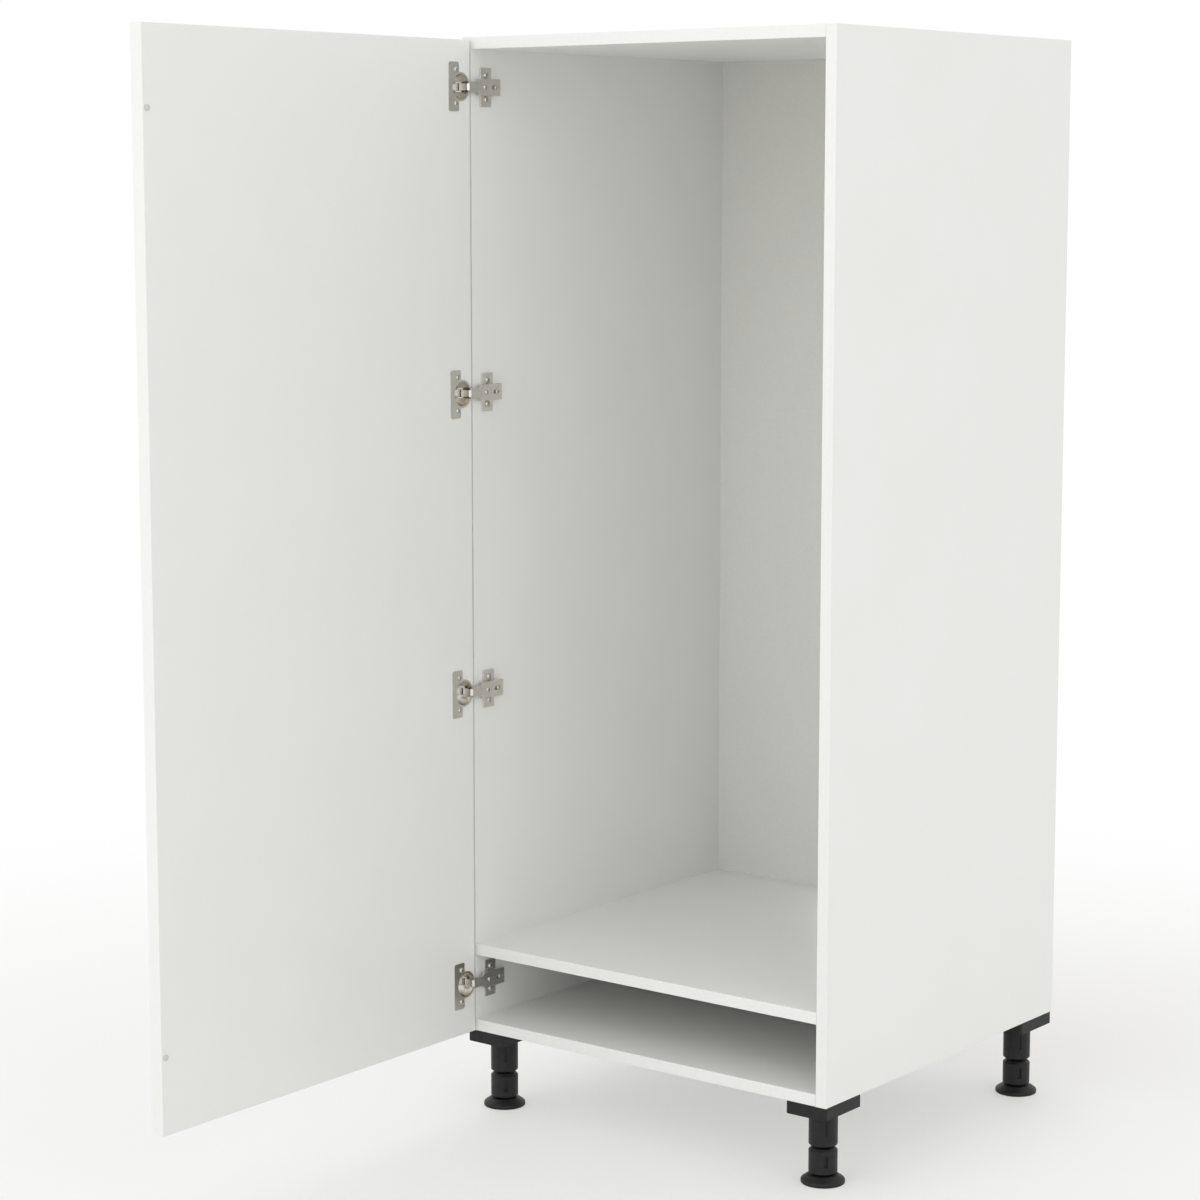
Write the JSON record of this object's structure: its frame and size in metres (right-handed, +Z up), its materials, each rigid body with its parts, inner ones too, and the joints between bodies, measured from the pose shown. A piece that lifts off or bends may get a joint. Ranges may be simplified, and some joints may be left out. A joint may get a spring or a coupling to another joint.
{
  "type": "fridge housing unit",
  "caption": "Tall kitchen unit that houses a built-in fridge: carcass with low appliance shelf, door on concealed hinges, levelling legs.",
  "frame": {"origin": "Floor level, in the middle of the box round the unit with its door open at 90 degrees.", "axes": "+X to the right seen from the front, +Y to the back of the unit, +Z up."},
  "size_m": [0.601, 1.1838, 1.479],
  "materials": {
    "carcass_board": "white melamine-faced particle board",
    "door_board": "white lacquered-look melamine board",
    "edge_band": "white thermoplastic edge band",
    "hardboard": "white lacquered hardboard",
    "beech": "grooved beech",
    "hinge_steel": "nickel-plated pressed steel",
    "screw_steel": "zinc-plated steel",
    "zinc": "die-cast zinc",
    "leg_plastic": "black moulded plastic",
    "bumper": "clear soft pad"
  },
  "bodies": {
    "carcass": {"appliance_shelf": "carcass_board", "back_panel": "hardboard", "back_panel_screws": "screw_steel", "bottom_edge_band": "edge_band", "bottom_panel": "carcass_board", "cam_bolts": "screw_steel", "cam_locks": "zinc", "carcass_dowels": "beech", "hinge_adjust_screws": "screw_steel", "hinge_arm_1": "hinge_steel", "hinge_arm_2": "hinge_steel", "hinge_arm_3": "hinge_steel", "hinge_arm_4": "hinge_steel", "hinge_clamp_screws": "screw_steel", "hinge_plate_1": "hinge_steel", "hinge_plate_2": "hinge_steel", "hinge_plate_3": "hinge_steel", "hinge_plate_4": "hinge_steel", "hinge_plate_screws": "screw_steel", "left_side_edge_band": "edge_band", "left_side_panel": "carcass_board", "leg_screws": "screw_steel", "leg_sleeve_front_left": "leg_plastic", "leg_sleeve_front_right": "leg_plastic", "leg_sleeve_rear_left": "leg_plastic", "leg_sleeve_rear_right": "leg_plastic", "leg_socket_front_left": "leg_plastic", "leg_socket_front_right": "leg_plastic", "leg_socket_rear_left": "leg_plastic", "leg_socket_rear_right": "leg_plastic", "right_side_edge_band": "edge_band", "right_side_panel": "carcass_board", "shelf_edge_band": "edge_band", "top_edge_band": "edge_band", "top_panel": "carcass_board"},
    "door": {"door_bumpers": "bumper", "door_edge_bands": "edge_band", "door_panel": "door_board", "hinge_cup_1": "hinge_steel", "hinge_cup_2": "hinge_steel", "hinge_cup_3": "hinge_steel", "hinge_cup_4": "hinge_steel", "hinge_cup_screws": "screw_steel", "hinge_pin_1": "hinge_steel", "hinge_pin_2": "hinge_steel", "hinge_pin_3": "hinge_steel", "hinge_pin_4": "hinge_steel"},
    "foot_front_left": {"leg_adjuster_front_left": "leg_plastic", "leg_foot_front_left": "leg_plastic"},
    "foot_front_right": {"leg_adjuster_front_right": "leg_plastic", "leg_foot_front_right": "leg_plastic"},
    "foot_rear_left": {"leg_adjuster_rear_left": "leg_plastic", "leg_foot_rear_left": "leg_plastic"},
    "foot_rear_right": {"leg_adjuster_rear_right": "leg_plastic", "leg_foot_rear_right": "leg_plastic"}
  },
  "joints": [
    {"name": "door_swing", "type": "hinge", "parent": "carcass", "child": "door", "pos_m": [-0.291, -0.0019, 0.7965], "axis": [0, 0, -1], "range_deg": [-90, 15]},
    {"name": "level_front_left", "type": "slide", "parent": "carcass", "child": "foot_front_left", "axis": [0, 0, -1], "range_m": [0, 0.02]},
    {"name": "level_front_right", "type": "slide", "parent": "carcass", "child": "foot_front_right", "axis": [0, 0, -1], "range_m": [0, 0.02]},
    {"name": "level_rear_left", "type": "slide", "parent": "carcass", "child": "foot_rear_left", "axis": [0, 0, -1], "range_m": [0, 0.02]},
    {"name": "level_rear_right", "type": "slide", "parent": "carcass", "child": "foot_rear_right", "axis": [0, 0, -1], "range_m": [0, 0.02]}
  ]
}
